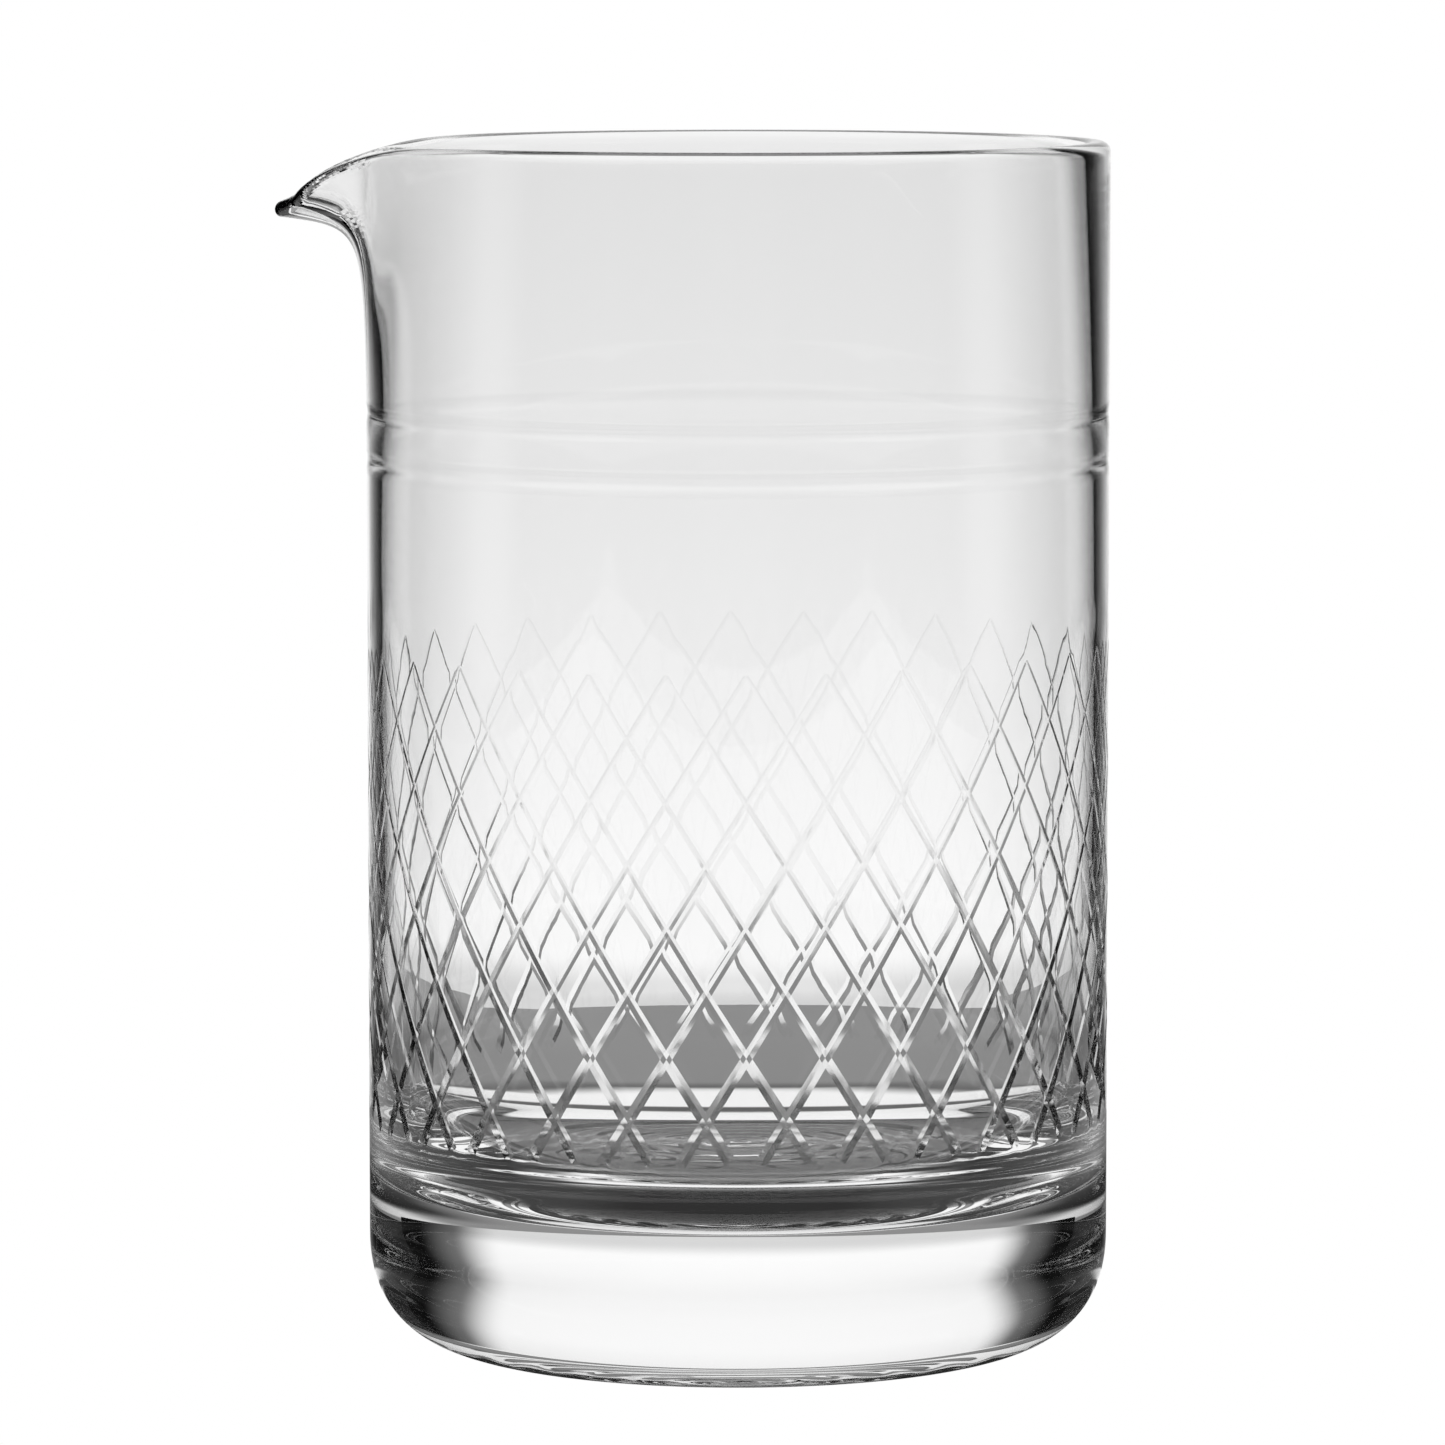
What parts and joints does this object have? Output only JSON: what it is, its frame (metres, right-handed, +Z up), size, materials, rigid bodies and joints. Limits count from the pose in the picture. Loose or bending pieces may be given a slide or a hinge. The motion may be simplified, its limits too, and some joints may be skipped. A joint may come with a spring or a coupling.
{
  "type": "mixing glass",
  "caption": "Straight-sided clear glass beaker with a pouring lip, a thick solid base, cut rings and a band of diamond cutting.",
  "frame": {"origin": "centre of the flat underside, on the axis of the round body", "axes": "+Z up along the axis of the body; the pouring lip points towards -X"},
  "size_m": [0.1034, 0.092, 0.15],
  "materials": {
    "glass": "clear polished crystal"
  },
  "bodies": {
    "root": {"mixing_glass": "glass"}
  },
  "joints": []
}
